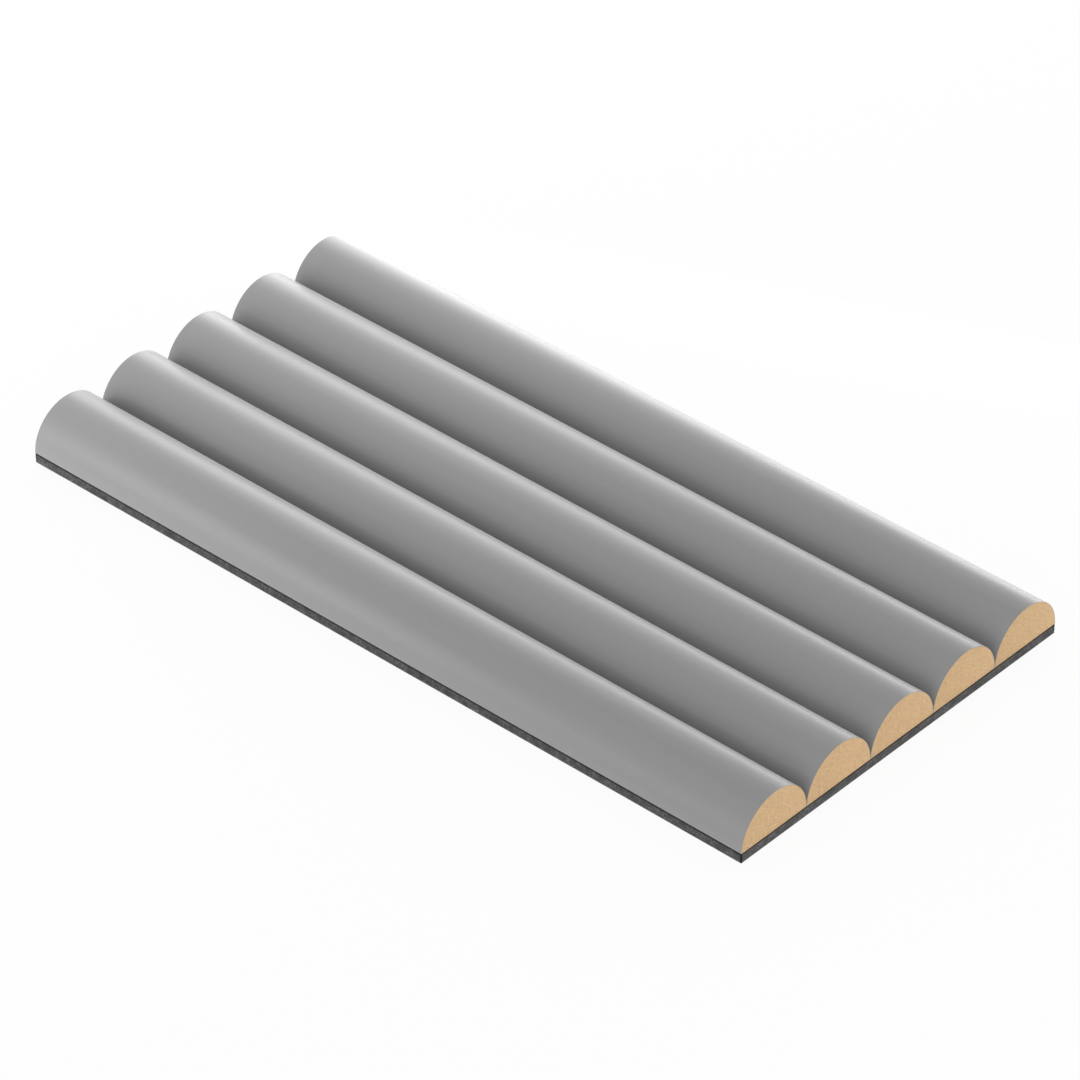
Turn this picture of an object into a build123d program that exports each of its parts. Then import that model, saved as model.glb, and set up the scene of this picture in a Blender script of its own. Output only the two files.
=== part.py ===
"""Fluted wall panel: half-round MDF reeds, each wrapped in a face film, side by side on a felt backing.

The panel lies face up. X runs along the reeds, Y across them and Z out of the wall.
The origin is the middle of the back face, which is glued to the wall.
"""

import os

from build123d import *

# Driving dimensions, in millimetres
panel_length = 240.0
reed_count = 5
reed_pitch = 24.0
reed_gap = 0.05
film_thickness = 0.12
backing_thickness = 3.0

# The backing is a whole number of pitches wide, so panels butted edge to edge keep the rhythm of the reeds
panel_width = reed_count * reed_pitch

# Half-round section: neighbouring reeds stand the gap apart at their feet, and the film fills the outer radius
reed_radius = (reed_pitch - reed_gap) / 2
core_radius = reed_radius - film_thickness


def reed_section(number):
    """Plane of a reed's left sawn end, with its origin at the middle of the reed's foot on the backing."""
    across = (number - (reed_count + 1) / 2) * reed_pitch
    return Plane(origin=(-panel_length / 2, across, backing_thickness), x_dir=(0, 1, 0), z_dir=(1, 0, 0))


def save(part, name):
    """Label a finished piece and write it as its own STEP file."""
    part.label = name
    export_step(part, f"parts/{name}.step")


os.makedirs("parts", exist_ok=True)

# Felt backing: one flat sheet under all the reeds
with BuildPart() as felt_backing:
    with BuildSketch():
        Rectangle(panel_length, panel_width)
    extrude(amount=backing_thickness)
save(felt_backing.part, "felt_backing")

for number in range(1, reed_count + 1):
    # Reed core: half-round MDF batten, flat side down on the felt
    with BuildPart() as reed_core:
        with BuildSketch(reed_section(number)):
            with BuildLine():
                crown = CenterArc((0, 0), core_radius, start_angle=0, arc_size=180)
                Line(crown @ 1, crown @ 0)
            make_face()
        extrude(amount=panel_length)
    save(reed_core.part, f"reed_core_{number}")

    # Face film: skin of even thickness over the crown, with both its edges down on the felt
    with BuildPart() as reed_film:
        with BuildSketch(reed_section(number)):
            with BuildLine():
                outside = CenterArc((0, 0), reed_radius, start_angle=0, arc_size=180)
                inside = CenterArc((0, 0), core_radius, start_angle=0, arc_size=180)
                Line(outside @ 0, inside @ 0)
                Line(outside @ 1, inside @ 1)
            make_face()
        extrude(amount=panel_length)
    save(reed_film.part, f"reed_film_{number}")
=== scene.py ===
"""Looks of a fluted wall panel: half-round MDF reeds in a lacquered film, side by side on a felt backing.

The file is laid out as an add-on and run as a script. Every piece is in metres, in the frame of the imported
model: X runs along the reeds, Y across them and Z out of the wall, with the back of the felt at Z = 0.
"""

import math

import bpy
from bpy.props import FloatProperty, FloatVectorProperty, IntProperty, PointerProperty
from mathutils import Matrix, Vector


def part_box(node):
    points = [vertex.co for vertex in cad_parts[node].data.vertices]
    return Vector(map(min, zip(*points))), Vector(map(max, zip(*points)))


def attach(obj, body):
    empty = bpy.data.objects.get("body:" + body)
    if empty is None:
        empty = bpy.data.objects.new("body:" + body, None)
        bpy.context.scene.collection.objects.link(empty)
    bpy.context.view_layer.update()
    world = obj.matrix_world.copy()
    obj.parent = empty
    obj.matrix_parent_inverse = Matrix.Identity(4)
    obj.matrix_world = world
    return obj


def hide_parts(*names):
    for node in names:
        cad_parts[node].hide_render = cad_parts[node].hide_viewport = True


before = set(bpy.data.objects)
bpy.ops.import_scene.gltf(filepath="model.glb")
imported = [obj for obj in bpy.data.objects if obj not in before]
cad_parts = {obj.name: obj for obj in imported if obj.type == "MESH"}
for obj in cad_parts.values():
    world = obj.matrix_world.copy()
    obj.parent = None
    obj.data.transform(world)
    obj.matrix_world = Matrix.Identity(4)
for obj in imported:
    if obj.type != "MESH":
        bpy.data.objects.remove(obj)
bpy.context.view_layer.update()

bl_info = {
    "name": "Fluted wall panel",
    "version": (1, 0, 0),
    "blender": (4, 5, 0),
    "location": "View3D > Sidebar > Fluted panel",
    "description": "Models the film, the cores and the felt of a fluted wall panel and sets it in a studio",
    "category": "Add Mesh",
}

MM = 0.001
X, Y, Z = range(3)
BODY = "root"


def size_of(node):
    """Length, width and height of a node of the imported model."""
    low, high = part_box(node)
    return high - low


REED_COUNT = sum(name.startswith("reed_core_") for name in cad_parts)
FILM_THICKNESS = (size_of("reed_film_1").y - size_of("reed_core_1").y) / 2


def linear(hex_colour):
    """Linear RGBA of an sRGB colour written as #RRGGBB."""
    channels = [int(hex_colour[i : i + 2], 16) / 255 for i in (1, 3, 5)]
    return [c / 12.92 if c <= 0.04045 else ((c + 0.055) / 1.055) ** 2.4 for c in channels] + [1.0]


# Camera, fitted to the straight edges of the panel in the photograph
CAMERA_AZIMUTH = math.radians(42.072)
CAMERA_ELEVATION = math.radians(37.122)
CAMERA_DISTANCE = 1.5423
CAMERA_LENS = 202.515
CAMERA_SENSOR = 36.0
CAMERA_STEP_RIGHT = 1.10 * MM
CAMERA_STEP_UP = 1.53 * MM

# Studio: the floor is a sheet of paper that is white where the camera and the reflections see it, apart from
# a share left for the shadow, and that glows weakly from below where it lights the panel. The world is the
# soft dome above.
WHITE = linear("#FFFFFF")
PAPER_WHITE = linear("#F4F4F4")
FLOOR_SIDE = 12.0
FLOOR_WHITE_SHARE = 0.92
FLOOR_GLOW_SHARE = 0.2
FLOOR_GLOW = 2.5
WORLD_STRENGTH = 0.66

# Softboxes, each aimed at the middle of the panel: name, place, width and height in metres, power in watts.
# The strip stands on the floor behind the panel, lower than the reeds, for the rim of the furthest reed.
SOFTBOXES = (
    ("back_wall", (0.30, 1.40, 0.25), 1.60, 0.50, 9.05),
    ("back_left_softbox", (-0.40, 0.60, 0.12), 0.70, 0.24, 1.43),
    ("back_left_fill", (-0.25, 0.25, 0.25), 0.30, 0.30, 0.226),
    ("left_fill", (-0.30, 0.0, 0.20), 0.30, 0.30, 0.127),
    ("front_left_fill", (-0.18, -0.20, 0.045), 0.20, 0.09, 0.108),
    ("front_softbox", (0.0, -0.50, 0.12), 0.80, 0.24, 0.300),
    ("right_softbox", (0.35, -0.10, 0.35), 0.30, 0.30, 0.254),
    ("far_rim_strip", (-0.05, 0.12, 0.006), 0.32, 0.012, 0.035),
)


class FlutedPanelSizes(bpy.types.PropertyGroup):
    """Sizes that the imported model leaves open."""

    film_thickness: FloatProperty(
        name="Film thickness",
        description="Thickness of the film over the cores",
        default=FILM_THICKNESS,
        unit="LENGTH",
    )
    film_edge: FloatProperty(
        name="Film edge",
        description="Rounding of the film's cut edges",
        default=0.03 * MM,
        unit="LENGTH",
    )
    core_edge: FloatProperty(
        name="Core edge",
        description="Rounding of the arrises of a sawn core",
        default=0.05 * MM,
        unit="LENGTH",
    )
    round_steps: IntProperty(
        name="Round steps",
        description="Flat steps round a half-round reed",
        default=96,
        min=24,
    )
    felt_edge: FloatProperty(
        name="Felt edge",
        description="Rounding of the felt's cut edges",
        default=0.2 * MM,
        unit="LENGTH",
    )
    # Width of the band of painted shade along the felt's upper and upright arrises, which also sets how far
    # the nap tapers towards the flat faces.
    felt_painted_shade: FloatProperty(
        name="Felt pressed",
        description="Width of the band along an arris of the felt that the knife pressed",
        default=0.5 * MM,
        unit="LENGTH",
    )
    felt_cell: FloatProperty(
        name="Felt cell",
        description="Side of the cells that the felt's cut edges are divided into",
        default=0.5 * MM,
        unit="LENGTH",
    )
    nap_height: FloatProperty(
        name="Nap height",
        description="How far the felt's cut edges rise and fall",
        default=0.20 * MM,
        unit="LENGTH",
    )
    nap_width: FloatProperty(
        name="Nap width",
        description="Width of the tufts on the felt's cut edges",
        default=0.8 * MM,
        unit="LENGTH",
    )
    fibre_length: FloatProperty(
        name="Fibre length",
        description="Length of a loose fibre on the felt's cut edges",
        default=0.9 * MM,
        unit="LENGTH",
    )
    fibre_thickness: FloatProperty(
        name="Fibre thickness",
        description="Thickness of a loose fibre, twice the real one so that it shows",
        default=0.04 * MM,
        unit="LENGTH",
    )
    fibre_spacing: FloatProperty(
        name="Fibre spacing",
        description="Mean distance between the loose fibres",
        default=0.6 * MM,
        unit="LENGTH",
    )


class FlutedPanelColours(bpy.types.PropertyGroup):
    """Colours of the three materials."""

    film: FloatVectorProperty(
        name="Film",
        description="Grey of the film",
        subtype="COLOR",
        size=4,
        default=linear("#8C8C8C"),
    )
    film_cut: FloatVectorProperty(
        name="Film cut",
        description="Tone of the sawn edge of the film, with dust from the cores rubbed in",
        subtype="COLOR",
        size=4,
        default=linear("#A69377"),
    )
    mdf: FloatVectorProperty(
        name="MDF",
        description="Tan of the sawn cores",
        subtype="COLOR",
        size=4,
        default=linear("#C9A77C"),
    )
    mdf_bark: FloatVectorProperty(
        name="MDF bark",
        description="Brown of the bark and dark fibres in the cores",
        subtype="COLOR",
        size=4,
        default=linear("#A9855A"),
    )
    mdf_pale: FloatVectorProperty(
        name="MDF pale",
        description="Pale tan of the fibre bundles in the cores",
        subtype="COLOR",
        size=4,
        default=linear("#E0C59D"),
    )
    felt: FloatVectorProperty(
        name="Felt",
        description="Charcoal of the felt",
        subtype="COLOR",
        size=4,
        default=linear("#414141"),
    )
    felt_pale: FloatVectorProperty(
        name="Felt pale",
        description="Grey of the pale fibres in the felt",
        subtype="COLOR",
        size=4,
        default=linear("#828282"),
    )
    # Painted shade: the near black that the felt's upper and upright arrises turn to, for the shadow in the
    # gap under the reeds' feet.
    felt_painted_shade: FloatVectorProperty(
        name="Felt pressed",
        description="Near black of the felt where the knife pressed it",
        subtype="COLOR",
        size=4,
        default=linear("#101010"),
    )


def add_node(tree, kind, settings=None, **inputs):
    """Add a node, set its settings, and set or link its inputs, by name with _ for a space or by number."""
    node = tree.nodes.new(kind)
    for name, value in (settings or {}).items():
        setattr(node, name, value)
    for name, value in inputs.items():
        socket = node.inputs[int(name[1:]) if name[1:].isdigit() else name.replace("_", " ")]
        if isinstance(value, bpy.types.NodeSocket):
            tree.links.new(value, socket)
        else:
            socket.default_value = value
    return node


def new_material(name):
    """An empty node material and its tree."""
    material = bpy.data.materials.new(name)
    material.use_nodes = True
    material.node_tree.nodes.clear()
    return material, material.node_tree


def toned(colour, gain):
    """A colour made lighter or darker."""
    return [channel * gain for channel in colour[:3]] + [1.0]


# The film: streaks that the rollers leave along a reed, with the tones and the roughness that they run
# between, and the pebble of the lacquer. The real pebble is too fine to show, about a third as wide.
# A face turns to the sawn tone while its normal swings towards the reed's length by these shares.
STREAK_LENGTH = 70 * MM
STREAK_WIDTH = 1.6 * MM
STREAK_TONES = (0.955, 1.045)
STREAK_ROUGHNESS = (0.36, 0.44)
PEBBLE_WIDTH = 0.7 * MM
PEBBLE_DEPTH = 0.004 * MM
SAWN_SWING = (0.6, 0.9)


def satin_film(colours):
    """Calendered plastic film with a soft-touch matt lacquer, drawn round the core by rollers.

    To the eye it is an even grey that pales at a glancing angle, with faint streaks along the reed and a
    fine pebble.
    """
    material, tree = new_material("lacquered_film")
    place = add_node(tree, "ShaderNodeTexCoord")
    stretched = add_node(
        tree,
        "ShaderNodeMapping",
        {"vector_type": "TEXTURE"},
        Vector=place.outputs["Object"],
        Scale=(STREAK_LENGTH, STREAK_WIDTH, STREAK_WIDTH),
    )
    streaks = add_node(tree, "ShaderNodeTexNoise", Vector=stretched.outputs[0], Scale=1.0, Detail=3.0)
    streaked = add_node(
        tree,
        "ShaderNodeMix",
        {"data_type": "RGBA"},
        _0=streaks.outputs["Fac"],
        _6=toned(colours.film, STREAK_TONES[0]),
        _7=toned(colours.film, STREAK_TONES[1]),
    )
    facing = add_node(tree, "ShaderNodeSeparateXYZ", Vector=place.outputs["Normal"])
    along = add_node(tree, "ShaderNodeMath", {"operation": "ABSOLUTE"}, _0=facing.outputs["X"])
    sawn = add_node(
        tree,
        "ShaderNodeMapRange",
        Value=along.outputs[0],
        From_Min=SAWN_SWING[0],
        From_Max=SAWN_SWING[1],
    )
    colour = add_node(
        tree,
        "ShaderNodeMix",
        {"data_type": "RGBA"},
        _0=sawn.outputs["Result"],
        _6=streaked.outputs[2],
        _7=colours.film_cut,
    )
    gloss = add_node(
        tree,
        "ShaderNodeMapRange",
        Value=streaks.outputs["Fac"],
        To_Min=STREAK_ROUGHNESS[0],
        To_Max=STREAK_ROUGHNESS[1],
    )
    pebble = add_node(
        tree, "ShaderNodeTexNoise", Vector=place.outputs["Object"], Scale=1 / PEBBLE_WIDTH, Detail=1.0
    )
    relief = add_node(
        tree, "ShaderNodeBump", Height=pebble.outputs["Fac"], Distance=PEBBLE_DEPTH, Strength=1.0
    )
    shader = add_node(
        tree,
        "ShaderNodeBsdfPrincipled",
        Base_Color=colour.outputs[2],
        Roughness=gloss.outputs["Result"],
        IOR=1.5,
        Sheen_Weight=0.5,
        Sheen_Roughness=0.4,
        Normal=relief.outputs["Normal"],
    )
    add_node(tree, "ShaderNodeOutputMaterial", Surface=shader.outputs["BSDF"])
    return material


# The board: fibre bundles, which lie flat in it and so show as dashes on a sawn end, clouds of uneven
# pressing, the lines of the saw and the denser skin on the face that is glued down.
# A bundle turns to bark, or to pale fibre, while its noise runs from the first value to the second.
BUNDLE_LENGTH = 1.1 * MM
BUNDLE_WIDTH = 0.28 * MM
BUNDLE_DEPTH = 0.03 * MM
BUNDLE_ROUGHNESS = (0.74, 0.92)
BARK_NOISE = (0.46, 0.28)
PALE_NOISE = (0.54, 0.72)
FLECK_SHARE = 0.75
CLOUD_WIDTH = 3.0 * MM
CLOUD_TONES = (0.92, 1.08)
SAW_LINE_WIDTH = 0.7 * MM
SAW_LINE_DEPTH = 0.009 * MM
SKIN_DEPTH = 1.2 * MM
SKIN_SHARE = 0.2


def sawn_mdf(colours, foot):
    """Medium-density fibreboard, pressed from wood fibre and sawn across.

    To the eye the end is a matt tan, flecked with brown and pale fibres that lie flat, and darker by the
    foot that is glued.
    """
    material, tree = new_material("sawn_mdf")
    place = add_node(tree, "ShaderNodeTexCoord").outputs["Object"]
    flat = add_node(
        tree,
        "ShaderNodeMapping",
        {"vector_type": "TEXTURE"},
        Vector=place,
        Scale=(BUNDLE_LENGTH, BUNDLE_LENGTH, BUNDLE_WIDTH),
    )
    bundles = add_node(
        tree, "ShaderNodeTexNoise", Vector=flat.outputs[0], Scale=1.0, Detail=3.0, Roughness=0.6
    )
    clouds = add_node(tree, "ShaderNodeTexNoise", Vector=place, Scale=1 / CLOUD_WIDTH, Detail=2.0)
    clouded = add_node(
        tree,
        "ShaderNodeMix",
        {"data_type": "RGBA"},
        _0=clouds.outputs["Fac"],
        _6=toned(colours.mdf, CLOUD_TONES[0]),
        _7=toned(colours.mdf, CLOUD_TONES[1]),
    )
    bark = add_node(
        tree,
        "ShaderNodeMapRange",
        Value=bundles.outputs["Fac"],
        From_Min=BARK_NOISE[0],
        From_Max=BARK_NOISE[1],
        To_Max=FLECK_SHARE,
    )
    barked = add_node(
        tree,
        "ShaderNodeMix",
        {"data_type": "RGBA"},
        _0=bark.outputs["Result"],
        _6=clouded.outputs[2],
        _7=colours.mdf_bark,
    )
    pale = add_node(
        tree,
        "ShaderNodeMapRange",
        Value=bundles.outputs["Fac"],
        From_Min=PALE_NOISE[0],
        From_Max=PALE_NOISE[1],
        To_Max=FLECK_SHARE,
    )
    flecked = add_node(
        tree,
        "ShaderNodeMix",
        {"data_type": "RGBA"},
        _0=pale.outputs["Result"],
        _6=barked.outputs[2],
        _7=colours.mdf_pale,
    )
    height = add_node(tree, "ShaderNodeSeparateXYZ", Vector=place)
    skin = add_node(
        tree,
        "ShaderNodeMapRange",
        Value=height.outputs["Z"],
        From_Min=foot + SKIN_DEPTH,
        From_Max=foot,
        To_Max=SKIN_SHARE,
    )
    colour = add_node(
        tree,
        "ShaderNodeMix",
        {"data_type": "RGBA"},
        _0=skin.outputs["Result"],
        _6=flecked.outputs[2],
        _7=colours.mdf_bark,
    )
    saw = add_node(
        tree,
        "ShaderNodeTexWave",
        {"bands_direction": "Y"},
        Vector=place,
        Scale=0.5 / SAW_LINE_WIDTH / math.pi,
        Distortion=1.5,
        Detail=2.0,
    )
    rough = add_node(
        tree,
        "ShaderNodeMath",
        {"operation": "MULTIPLY_ADD"},
        _0=saw.outputs["Fac"],
        _1=SAW_LINE_DEPTH / BUNDLE_DEPTH,
        _2=bundles.outputs["Fac"],
    )
    relief = add_node(tree, "ShaderNodeBump", Height=rough.outputs[0], Distance=BUNDLE_DEPTH, Strength=1.0)
    dry = add_node(
        tree,
        "ShaderNodeMapRange",
        Value=bundles.outputs["Fac"],
        To_Min=BUNDLE_ROUGHNESS[0],
        To_Max=BUNDLE_ROUGHNESS[1],
    )
    shader = add_node(
        tree,
        "ShaderNodeBsdfPrincipled",
        Base_Color=colour.outputs[2],
        Roughness=dry.outputs["Result"],
        IOR=1.5,
        Normal=relief.outputs["Normal"],
    )
    add_node(tree, "ShaderNodeOutputMaterial", Surface=shader.outputs["BSDF"])
    return material


# The felt: its fibres, drawn thicker than the real ones so that they show, which run three ways, turned by
# these angles in radians, and the mottling of the blend.
# A fibre or a patch of the blend turns pale while its noise runs from the first value to the second.
STRAND_LENGTH = 3.0 * MM
STRAND_WIDTH = 0.3 * MM
STRAND_DEPTH = 0.12 * MM
STRAND_TURNS = ((0.3, 0.2, 0.4), (0.9, -0.3, 1.5), (-0.5, 0.8, 2.6))
STRAND_NOISE = (0.50, 0.76)
MOTTLE_WIDTH = 2.2 * MM
MOTTLE_NOISE = (0.3, 0.7)


def needled_felt(colours):
    """Needle-punched polyester felt, with painted shade, a near black, along its upper and upright arrises.

    To the eye it is a matt charcoal heather, with pale fibres that cross each other and a soft bloom of nap.
    """
    material, tree = new_material("needled_felt")
    place = add_node(tree, "ShaderNodeTexCoord").outputs["Object"]
    strands = None
    for turn in STRAND_TURNS:
        run = add_node(
            tree,
            "ShaderNodeMapping",
            {"vector_type": "TEXTURE"},
            Vector=place,
            Rotation=turn,
            Scale=(STRAND_LENGTH, STRAND_WIDTH, STRAND_WIDTH),
        )
        noise = add_node(tree, "ShaderNodeTexNoise", Vector=run.outputs[0], Scale=1.0, Detail=2.0)
        if strands:
            crossed = add_node(
                tree, "ShaderNodeMath", {"operation": "MAXIMUM"}, _0=strands, _1=noise.outputs["Fac"]
            )
            strands = crossed.outputs[0]
        else:
            strands = noise.outputs["Fac"]
    pale = add_node(
        tree, "ShaderNodeMapRange", Value=strands, From_Min=STRAND_NOISE[0], From_Max=STRAND_NOISE[1]
    )
    mottle = add_node(tree, "ShaderNodeTexNoise", Vector=place, Scale=1 / MOTTLE_WIDTH, Detail=3.0)
    blend = add_node(
        tree,
        "ShaderNodeMapRange",
        Value=mottle.outputs["Fac"],
        From_Min=MOTTLE_NOISE[0],
        From_Max=MOTTLE_NOISE[1],
    )
    share = add_node(
        tree,
        "ShaderNodeMath",
        {"operation": "MULTIPLY"},
        _0=pale.outputs["Result"],
        _1=blend.outputs["Result"],
    )
    heather = add_node(
        tree,
        "ShaderNodeMix",
        {"data_type": "RGBA"},
        _0=share.outputs[0],
        _6=colours.felt,
        _7=colours.felt_pale,
    )
    # Painted shade: the upper and upright arrises turn near black, for the shadow in the gap under the reeds'
    # feet.
    arris = add_node(tree, "ShaderNodeAttribute", {"attribute_name": "arris"})
    colour = add_node(
        tree,
        "ShaderNodeMix",
        {"data_type": "RGBA"},
        _0=arris.outputs["Fac"],
        _6=heather.outputs[2],
        _7=colours.felt_painted_shade,
    )
    relief = add_node(tree, "ShaderNodeBump", Height=strands, Distance=STRAND_DEPTH, Strength=1.0)
    shader = add_node(
        tree,
        "ShaderNodeBsdfPrincipled",
        Base_Color=colour.outputs[2],
        Roughness=0.95,
        Specular_IOR_Level=0.1,
        Sheen_Weight=0.15,
        Sheen_Roughness=0.5,
        Normal=relief.outputs["Normal"],
    )
    add_node(tree, "ShaderNodeOutputMaterial", Surface=shader.outputs["BSDF"])
    return material


def seen_directly(tree):
    """1 for the rays of the camera, reflections and clear materials, and 0 for the rays that carry light."""
    path = add_node(tree, "ShaderNodeLightPath")
    seen = path.outputs["Is Camera Ray"]
    for kind in ("Is Glossy Ray", "Is Transmission Ray"):
        either = add_node(tree, "ShaderNodeMath", {"operation": "MAXIMUM"}, _0=seen, _1=path.outputs[kind])
        seen = either.outputs[0]
    return seen


def white_paper():
    """Matt white paper on a light table.

    To the eye it is white and keeps the shadow, and it lights the panel weakly from below.
    """
    material, tree = new_material("white_paper")
    seen = seen_directly(tree)
    share = add_node(
        tree, "ShaderNodeMapRange", Value=seen, To_Min=FLOOR_GLOW_SHARE, To_Max=FLOOR_WHITE_SHARE
    )
    glow = add_node(tree, "ShaderNodeMapRange", Value=seen, To_Min=FLOOR_GLOW, To_Max=1.0)
    paper = add_node(tree, "ShaderNodeBsdfDiffuse", Color=PAPER_WHITE)
    white = add_node(tree, "ShaderNodeEmission", Color=WHITE, Strength=glow.outputs["Result"])
    mix = add_node(
        tree,
        "ShaderNodeMixShader",
        _0=share.outputs["Result"],
        _1=paper.outputs["BSDF"],
        _2=white.outputs["Emission"],
    )
    add_node(tree, "ShaderNodeOutputMaterial", Surface=mix.outputs[0])
    return material


def deselect_all():
    """Leave nothing selected, so that an operator acts on the new piece alone."""
    bpy.ops.object.select_all(action="DESELECT")


def apply_modifier(piece, kind, **settings):
    """Add a modifier with its settings and apply it."""
    modifier = piece.modifiers.new(kind.title(), kind)
    for name, value in settings.items():
        setattr(modifier, name, value)
    bpy.ops.object.modifier_apply(modifier=modifier.name)


def edit_selected(piece, kind, wanted):
    """Enter edit mode with those faces or edges of a piece selected that pass a test."""
    bpy.ops.object.mode_set(mode="EDIT")
    bpy.ops.mesh.select_mode(type=kind)
    bpy.ops.mesh.select_all(action="DESELECT")
    bpy.ops.object.mode_set(mode="OBJECT")
    for item in piece.data.polygons if kind == "FACE" else piece.data.edges:
        item.select = wanted(item)
    bpy.ops.object.mode_set(mode="EDIT")


# The most cuts that one subdivide makes, and the share of an edge or a normal that lies on an axis it follows
MOST_CUTS = 100
ALIGNED = 0.999


def divide_along(piece, axis, cell):
    """Cut the edges of a piece that run along an axis into cells of about this length."""

    def run(edge):
        first, last = (piece.data.vertices[i].co for i in edge.vertices)
        return last - first

    def runs_along(edge):
        step = run(edge)
        return abs(step[axis]) > ALIGNED * step.length

    bpy.ops.object.mode_set(mode="OBJECT")
    while True:
        longest = max(run(edge).length for edge in piece.data.edges if runs_along(edge))
        cuts = min(round(longest / cell) - 1, MOST_CUTS)
        if cuts < 1:
            return
        edit_selected(piece, "EDGE", runs_along)
        bpy.ops.mesh.subdivide(number_cuts=cuts)
        bpy.ops.object.mode_set(mode="OBJECT")


def half_round(node, steps, ends):
    """A half-round along X on the foot of a node: a cylinder, cut off at its middle."""
    low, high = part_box(node)
    foot = Vector(((low.x + high.x) / 2, (low.y + high.y) / 2, low.z))
    deselect_all()
    bpy.ops.mesh.primitive_cylinder_add(
        vertices=2 * steps,
        radius=(high.y - low.y) / 2,
        depth=high.x - low.x,
        end_fill_type=ends,
        location=foot,
        rotation=(0, math.pi / 2, 0),
    )
    bpy.ops.object.transform_apply()
    bpy.ops.object.mode_set(mode="EDIT")
    bpy.ops.mesh.select_all(action="SELECT")
    bpy.ops.mesh.bisect(plane_co=foot, plane_no=(0, 0, 1), use_fill=ends != "NOTHING", clear_inner=True)
    bpy.ops.object.mode_set(mode="OBJECT")
    return bpy.context.active_object


SMOOTH_ANGLE = math.radians(40)
SHARP_ANGLE = math.radians(50)


def soften(piece, width):
    """Round a piece's sharp edges and shade the rest smooth."""
    apply_modifier(piece, "BEVEL", width=width, segments=2, limit_method="ANGLE", angle_limit=SHARP_ANGLE)
    bpy.ops.object.shade_smooth_by_angle(angle=SMOOTH_ANGLE)


def copy_to_reeds(piece, kind):
    """Copy a piece that is modelled on the first node of a kind to the other reeds, and give all of them."""
    pieces = [piece]
    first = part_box(f"{kind}_1")[0]
    for number in range(2, REED_COUNT + 1):
        deselect_all()
        piece.select_set(True)
        bpy.context.view_layer.objects.active = piece
        bpy.ops.object.duplicate()
        bpy.ops.transform.translate(value=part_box(f"{kind}_{number}")[0] - first)
        bpy.ops.object.transform_apply()
        pieces.append(bpy.context.active_object)
    return pieces


def join_frame(piece, name, material, node=None):
    """Name a finished piece, give it its material, set it on its body and let it stand for a node."""
    piece.name = name
    piece.data.name = name
    piece.data.materials.clear()
    piece.data.materials.append(material)
    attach(piece, BODY)
    if node:
        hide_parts(node)


# The margin at both ends of a row, and the share of a normal that lies on the axis its face looks along
MAP_MARGIN = 0.01
FACING = 0.5


def lay_out_map(piece, row_of):
    """Give a piece a map for the bake, in rows, so that the faces that show get most of the image.

    row_of gives the row of a face by its normal: where it starts and ends in the image's height, and the
    axes of the piece that run along it and up it.
    """
    points = [point.co for point in piece.data.vertices]
    low = [min(axis) for axis in zip(*points)]
    size = [max(axis) - least for axis, least in zip(zip(*points), low)]
    layout = piece.data.uv_layers.new(name="OFBake")
    for face in piece.data.polygons:
        start, end, along, up = row_of(face.normal)
        for corner in face.loop_indices:
            place = points[piece.data.loops[corner].vertex_index]
            across = MAP_MARGIN + (1 - 2 * MAP_MARGIN) * (place[along] - low[along]) / size[along]
            layout.data[corner].uv = (across, start + (end - start) * (place[up] - low[up]) / size[up])


def felt_row(normal):
    """Row of a face of the felt: the four cut edges get over half of the image, then comes the back."""
    if abs(normal.y) > FACING:
        return (0.84, 0.99, X, Z) if normal.y < 0 else (0.68, 0.83, X, Z)
    if abs(normal.x) > FACING:
        return (0.52, 0.67, Y, Z) if normal.x > 0 else (0.36, 0.51, Y, Z)
    return (0.06, 0.35, X, Y) if normal.z < 0 else (0.01, 0.05, X, Y)


def core_row(normal):
    """Row of a face of a core: the two sawn ends, which alone show, get most of the image."""
    if abs(normal.x) > FACING:
        return (0.63, 0.99, Y, Z) if normal.x > 0 else (0.26, 0.62, Y, Z)
    return (0.01, 0.09, X, Y) if normal.z < -FACING else (0.10, 0.25, X, Y)


# Value of the tuft texture at which the nap neither rises nor sinks
NAP_LEVEL = 0.6


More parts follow.
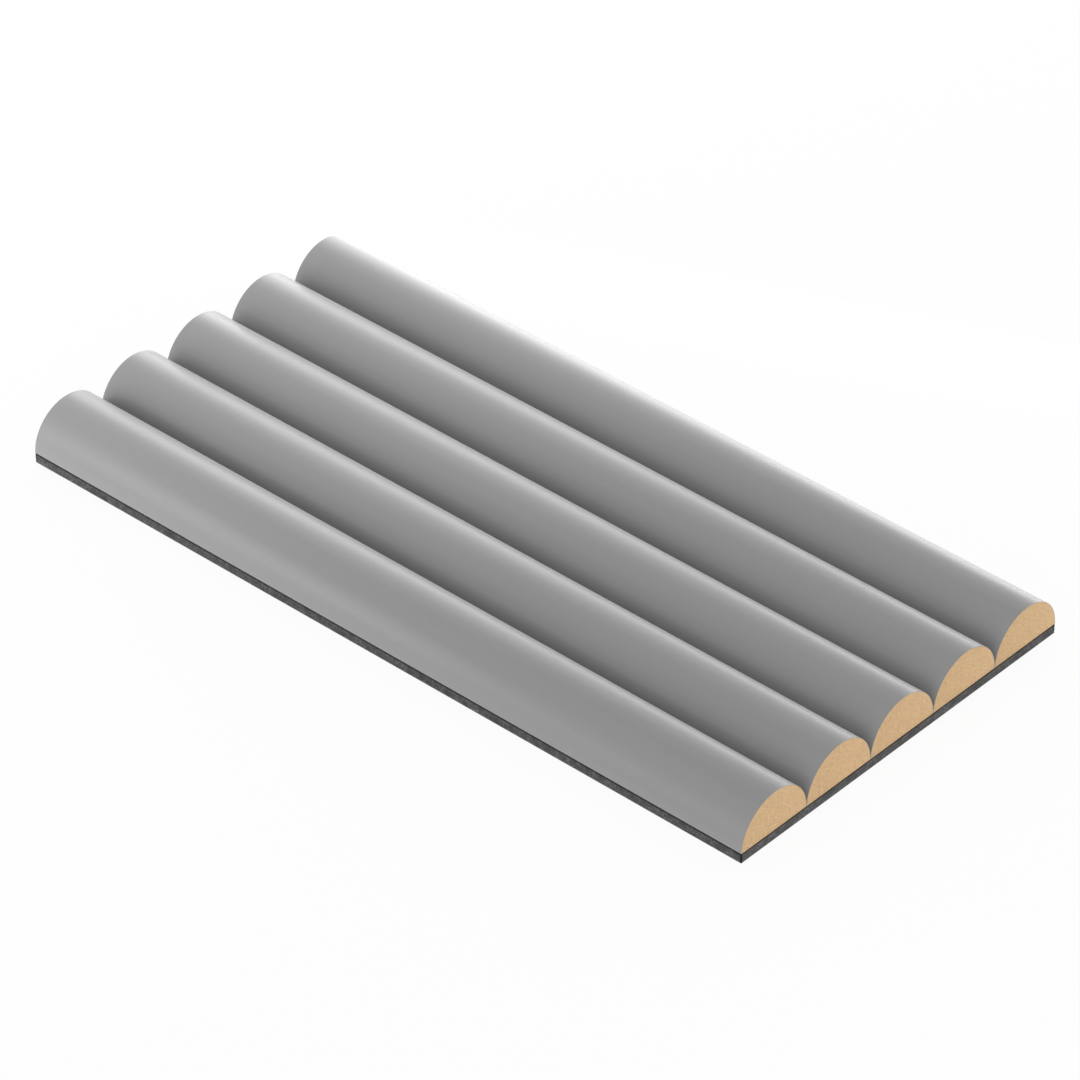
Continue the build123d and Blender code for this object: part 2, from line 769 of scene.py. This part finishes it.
class FLUTED_OT_felt(bpy.types.Operator):
    """Model the felt backing with soft, napped edges"""

    bl_idname = "fluted.felt"
    bl_label = "Felt backing"

    def execute(self, context):
        sizes = context.scene.fluted_sizes
        low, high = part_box("felt_backing")
        deselect_all()
        bpy.ops.mesh.primitive_cube_add(size=1, location=(low + high) / 2, scale=high - low)
        bpy.ops.object.transform_apply()
        felt = context.active_object
        apply_modifier(felt, "BEVEL", width=sizes.felt_edge, segments=4)
        edit_selected(felt, "FACE", lambda face: abs(face.normal.z) > ALIGNED)
        bpy.ops.mesh.delete(type="FACE")
        for axis in (X, Y, Z):
            divide_along(felt, axis, sizes.felt_cell)
        bpy.ops.object.mode_set(mode="EDIT")
        bpy.ops.mesh.select_all(action="SELECT")
        bpy.ops.mesh.fill_holes(sides=0)
        edit_selected(felt, "FACE", lambda face: len(face.vertices) > 4)
        bpy.ops.mesh.inset(thickness=sizes.felt_cell)
        bpy.ops.object.mode_set(mode="OBJECT")
        self.mark_painted_shade(felt, low, high, sizes.felt_painted_shade)
        self.raise_nap(felt, low, high, sizes)
        bpy.ops.object.shade_smooth_by_angle(angle=SMOOTH_ANGLE)
        lay_out_map(felt, felt_row)
        join_frame(felt, "felt_sheet", needled_felt(context.scene.fluted_colours), "felt_backing")
        return {"FINISHED"}

    def mark_painted_shade(self, felt, low, high, band):
        """Give the points by the upper and upright arrises an attribute of 1, where the material paints
        shade.
        """
        arris = felt.data.attributes.new("arris", "FLOAT", "POINT")
        for point in felt.data.vertices:
            sides = [min(point.co[axis] - low[axis], high[axis] - point.co[axis]) for axis in (X, Y)]
            close = [gap < band for gap in (*sides, high.z - point.co.z)]
            arris.data[point.index].value = float(sum(close) >= 2)

    def raise_nap(self, felt, low, high, sizes):
        """Raise and sink the cut edges by a cloud texture, less towards the flat faces."""
        group = felt.vertex_groups.new(name="nap")
        for point in felt.data.vertices:
            gap = min(point.co.z - low.z, high.z - point.co.z)
            group.add([point.index], min(1.0, gap / sizes.felt_painted_shade), "REPLACE")
        tufts = bpy.data.textures.new("felt_tufts", "CLOUDS")
        tufts.noise_scale = sizes.nap_width
        apply_modifier(
            felt,
            "DISPLACE",
            texture=tufts,
            texture_coords="LOCAL",
            strength=sizes.nap_height,
            mid_level=NAP_LEVEL,
            vertex_group=group.name,
        )
        felt.vertex_groups.clear()


# A loose fibre is a curve, in shares of half its length: how far its ends dip and where its handles pull it.
# Fibres differ by their tilt off the felt in radians, either way, and by their least and greatest scale.
# The margin, as a share of a fibre's length, keeps them clear of the felt's arrises and so of the floor.
FIBRE_DIP = 0.15
FIBRE_PULLS = ((-0.5, 0.3, 0.5), (0.6, -0.2, 0.3))
FIBRE_TILT = 0.3
FIBRE_SCALES = (0.5, 1.15)
FIBRE_MARGIN = 0.65


class FLUTED_OT_fibres(bpy.types.Operator):
    """Scatter loose fibres over the felt's cut edges"""

    bl_idname = "fluted.fibres"
    bl_label = "Loose fibres"

    def execute(self, context):
        sizes = context.scene.fluted_sizes
        felt = bpy.data.objects["felt_sheet"]
        strand = self.strand(sizes)
        deselect_all()
        bpy.ops.object.add(type="MESH")
        fuzz = context.active_object
        fuzz.data = felt.data.copy()
        apply_modifier(fuzz, "NODES", node_group=self.scatter(strand, sizes))
        bpy.data.objects.remove(strand)
        bpy.ops.object.shade_smooth()
        join_frame(fuzz, "felt_fibres", felt.data.materials[0])
        return {"FINISHED"}

    def strand(self, sizes):
        """One fibre: a low arch along X, as a thin tube."""
        reach = sizes.fibre_length / 2
        deselect_all()
        bpy.ops.curve.primitive_bezier_curve_add()
        strand = bpy.context.active_object
        first, last = strand.data.splines[0].bezier_points
        for point, side in ((first, -1), (last, 1)):
            point.handle_left_type = "FREE"
            point.handle_right_type = "FREE"
            end = reach * Vector((side, 0, -FIBRE_DIP))
            point.co = end
            point.handle_left = end
            point.handle_right = end
        first.handle_right = reach * Vector(FIBRE_PULLS[0])
        last.handle_left = reach * Vector(FIBRE_PULLS[1])
        strand.data.resolution_u = 4
        strand.data.bevel_depth = sizes.fibre_thickness / 2
        strand.data.bevel_resolution = 0
        strand.data.use_fill_caps = True
        bpy.ops.object.convert(target="MESH")
        return bpy.context.active_object

    def scatter(self, strand, sizes):
        """Geometry nodes that lay strands at random on the upright faces, with a fixed seed."""
        low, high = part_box("felt_backing")
        tree = bpy.data.node_groups.new("loose_fibres", "GeometryNodeTree")
        for way in ("INPUT", "OUTPUT"):
            tree.interface.new_socket("Geometry", in_out=way, socket_type="NodeSocketGeometry")
        felt = add_node(tree, "NodeGroupInput")
        place = add_node(tree, "GeometryNodeInputPosition")
        height = add_node(tree, "ShaderNodeSeparateXYZ", Vector=place.outputs[0])
        margin = FIBRE_MARGIN * sizes.fibre_length
        upright = add_node(
            tree,
            "ShaderNodeMath",
            {"operation": "COMPARE"},
            _0=height.outputs["Z"],
            _1=(low.z + high.z) / 2,
            _2=(high.z - low.z) / 2 - margin,
        )
        points = add_node(
            tree,
            "GeometryNodeDistributePointsOnFaces",
            Mesh=felt.outputs[0],
            Selection=upright.outputs[0],
            Density=1 / sizes.fibre_spacing**2,
            Seed=7,
        )
        turn = add_node(
            tree,
            "FunctionNodeRandomValue",
            {"data_type": "FLOAT_VECTOR"},
            _0=(-FIBRE_TILT, -FIBRE_TILT, 0),
            _1=(FIBRE_TILT, FIBRE_TILT, math.tau),
            Seed=3,
        )
        turned = add_node(
            tree,
            "FunctionNodeRotateRotation",
            {"rotation_space": "LOCAL"},
            Rotation=points.outputs["Rotation"],
            Rotate_By=turn.outputs[0],
        )
        scale = add_node(
            tree,
            "FunctionNodeRandomValue",
            {"data_type": "FLOAT"},
            _2=FIBRE_SCALES[0],
            _3=FIBRE_SCALES[1],
            Seed=5,
        )
        shape = add_node(tree, "GeometryNodeObjectInfo", Object=strand, As_Instance=True)
        laid = add_node(
            tree,
            "GeometryNodeInstanceOnPoints",
            Points=points.outputs["Points"],
            Selection=upright.outputs[0],
            Instance=shape.outputs["Geometry"],
            Rotation=turned.outputs[0],
            Scale=scale.outputs[1],
        )
        real = add_node(tree, "GeometryNodeRealizeInstances", Geometry=laid.outputs[0])
        add_node(tree, "NodeGroupOutput", Geometry=real.outputs[0])
        return tree


class FLUTED_OT_cores(bpy.types.Operator):
    """Model the half-round MDF cores"""

    bl_idname = "fluted.cores"
    bl_label = "Reed cores"

    def execute(self, context):
        sizes = context.scene.fluted_sizes
        material = sawn_mdf(context.scene.fluted_colours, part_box("reed_core_1")[0].z)
        first = half_round("reed_core_1", sizes.round_steps, "NGON")
        soften(first, sizes.core_edge)
        lay_out_map(first, core_row)
        for number, core in enumerate(copy_to_reeds(first, "reed_core"), 1):
            join_frame(core, f"mdf_core_{number}", material, f"reed_core_{number}")
        return {"FINISHED"}


class FLUTED_OT_films(bpy.types.Operator):
    """Model the film over each core"""

    bl_idname = "fluted.films"
    bl_label = "Reed films"

    def execute(self, context):
        sizes = context.scene.fluted_sizes
        material = satin_film(context.scene.fluted_colours)
        first = half_round("reed_film_1", sizes.round_steps, "NOTHING")
        apply_modifier(first, "SOLIDIFY", thickness=sizes.film_thickness, offset=-1, use_even_offset=True)
        soften(first, sizes.film_edge)
        for number, film in enumerate(copy_to_reeds(first, "reed_film"), 1):
            join_frame(film, f"satin_film_{number}", material, f"reed_film_{number}")
        return {"FINISHED"}


class FLUTED_OT_stage(bpy.types.Operator):
    """Set up the floor, the light and the camera"""

    bl_idname = "fluted.stage"
    bl_label = "Stage"

    def execute(self, context):
        self.floor()
        self.world(context.scene)
        self.lamps()
        self.camera(context.scene)
        context.scene.view_settings.view_transform = "Standard"
        return {"FINISHED"}

    def floor(self):
        """A wide sheet of paper under the panel."""
        deselect_all()
        bpy.ops.mesh.primitive_plane_add(size=FLOOR_SIDE)
        floor = bpy.context.active_object
        floor.name = "floor"
        floor.data.materials.append(white_paper())

    def world(self, scene):
        """A soft dome of light that is plain white where it is seen."""
        scene.world = bpy.data.worlds.new("studio")
        scene.world.use_nodes = True
        tree = scene.world.node_tree
        tree.nodes.clear()
        strength = add_node(
            tree, "ShaderNodeMapRange", Value=seen_directly(tree), To_Min=WORLD_STRENGTH, To_Max=1.0
        )
        light = add_node(tree, "ShaderNodeBackground", Color=WHITE, Strength=strength.outputs["Result"])
        add_node(tree, "ShaderNodeOutputWorld", Surface=light.outputs[0])

    def lamps(self):
        """Softboxes that light the panel and aren't seen themselves."""
        for name, place, width, height, power in SOFTBOXES:
            deselect_all()
            bpy.ops.object.light_add(type="AREA", location=place)
            lamp = bpy.context.active_object
            lamp.name = name
            lamp.rotation_euler = Vector(place).to_track_quat("Z", "Y").to_euler()
            lamp.data.shape = "RECTANGLE"
            lamp.data.size = width
            lamp.data.size_y = height
            lamp.data.energy = power
            lamp.visible_camera = False

    def camera(self, scene):
        """A long lens that looks at the panel from the front right, stepped aside to frame it."""
        flat = math.cos(CAMERA_ELEVATION)
        back = Vector(
            (math.sin(CAMERA_AZIMUTH) * flat, -math.cos(CAMERA_AZIMUTH) * flat, math.sin(CAMERA_ELEVATION))
        )
        right = Vector((math.cos(CAMERA_AZIMUTH), math.sin(CAMERA_AZIMUTH), 0))
        up = back.cross(right)
        deselect_all()
        bpy.ops.object.camera_add()
        camera = bpy.context.active_object
        camera.name = "camera"
        camera.location = back * CAMERA_DISTANCE + right * CAMERA_STEP_RIGHT + up * CAMERA_STEP_UP
        camera.rotation_euler = Matrix((right, up, back)).transposed().to_euler()
        camera.data.sensor_width = CAMERA_SENSOR
        camera.data.lens = CAMERA_LENS
        camera.data.clip_end = 4 * FLOOR_SIDE
        scene.camera = camera


class FLUTED_PT_panel(bpy.types.Panel):
    """Lists the sizes, the colours and the pieces in the 3D view's sidebar"""

    bl_label = "Fluted panel"
    bl_space_type = "VIEW_3D"
    bl_region_type = "UI"
    bl_category = "Fluted panel"

    def draw(self, context):
        for group in (context.scene.fluted_sizes, context.scene.fluted_colours):
            for name in group.__annotations__:
                self.layout.prop(group, name)
        for operator in OPERATORS:
            self.layout.operator(operator.bl_idname)


OPERATORS = (FLUTED_OT_felt, FLUTED_OT_fibres, FLUTED_OT_cores, FLUTED_OT_films, FLUTED_OT_stage)
CLASSES = (FlutedPanelSizes, FlutedPanelColours, *OPERATORS, FLUTED_PT_panel)


def register():
    for cls in CLASSES:
        bpy.utils.register_class(cls)
    bpy.types.Scene.fluted_sizes = PointerProperty(type=FlutedPanelSizes)
    bpy.types.Scene.fluted_colours = PointerProperty(type=FlutedPanelColours)


def unregister():
    del bpy.types.Scene.fluted_colours
    del bpy.types.Scene.fluted_sizes
    for cls in reversed(CLASSES):
        bpy.utils.unregister_class(cls)


def main():
    """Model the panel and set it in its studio."""
    register()
    bpy.ops.fluted.felt()
    bpy.ops.fluted.fibres()
    bpy.ops.fluted.cores()
    bpy.ops.fluted.films()
    bpy.ops.fluted.stage()


if __name__ == "__main__":
    main()
